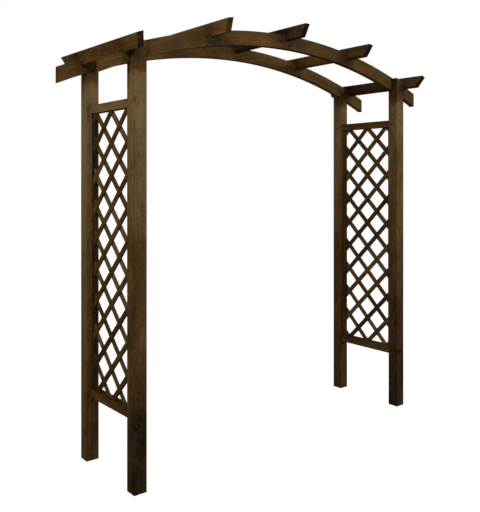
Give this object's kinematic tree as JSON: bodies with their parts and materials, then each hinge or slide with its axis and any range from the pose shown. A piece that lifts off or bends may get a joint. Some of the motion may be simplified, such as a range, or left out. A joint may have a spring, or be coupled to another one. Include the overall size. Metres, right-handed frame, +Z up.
{
  "type": "timber garden arch",
  "caption": "Dark stained timber garden arch: square posts carry curved beams with notched cross rafters, and each side is a diagonal lattice panel between two posts.",
  "frame": {"origin": "on the ground, in the middle of the four posts", "axes": "+Z up, +Y through the arch from front to rear, +X across the walkway to the right as seen from the front"},
  "size_m": [2.38, 0.83, 2.38],
  "materials": {
    "post_timber": "dark brown stained pine, lightly worn, fine sawn grain",
    "beam_timber": "dark brown stained laminated pine, grain along the curve",
    "rafter_timber": "dark brown stained pine, near-black end grain",
    "rail_timber": "dark brown stained pine",
    "outer_lath_timber": "dark brown stained rough-sawn pine",
    "inner_lath_timber": "mid brown stained rough-sawn pine",
    "dowel_timber": "plain beech",
    "screw_steel": "dark zinc-plated steel"
  },
  "bodies": {
    "root": {"post_front_left": "post_timber", "post_rear_left": "post_timber", "post_front_right": "post_timber", "post_rear_right": "post_timber", "arch_beam_front": "beam_timber", "arch_beam_rear": "beam_timber", "rafter_1": "rafter_timber", "rafter_2": "rafter_timber", "rafter_3": "rafter_timber", "rafter_4": "rafter_timber", "rafter_5": "rafter_timber", "left_panel_top_rail": "rail_timber", "left_panel_bottom_rail": "rail_timber", "left_panel_front_stile": "rail_timber", "left_panel_rear_stile": "rail_timber", "right_panel_top_rail": "rail_timber", "right_panel_bottom_rail": "rail_timber", "right_panel_front_stile": "rail_timber", "right_panel_rear_stile": "rail_timber", "left_panel_outer_laths": "outer_lath_timber", "left_panel_inner_laths": "inner_lath_timber", "right_panel_inner_laths": "outer_lath_timber", "right_panel_outer_laths": "inner_lath_timber", "beam_coach_screws": "screw_steel", "rafter_screws": "screw_steel", "rail_dowels": "dowel_timber"}
  },
  "joints": []
}
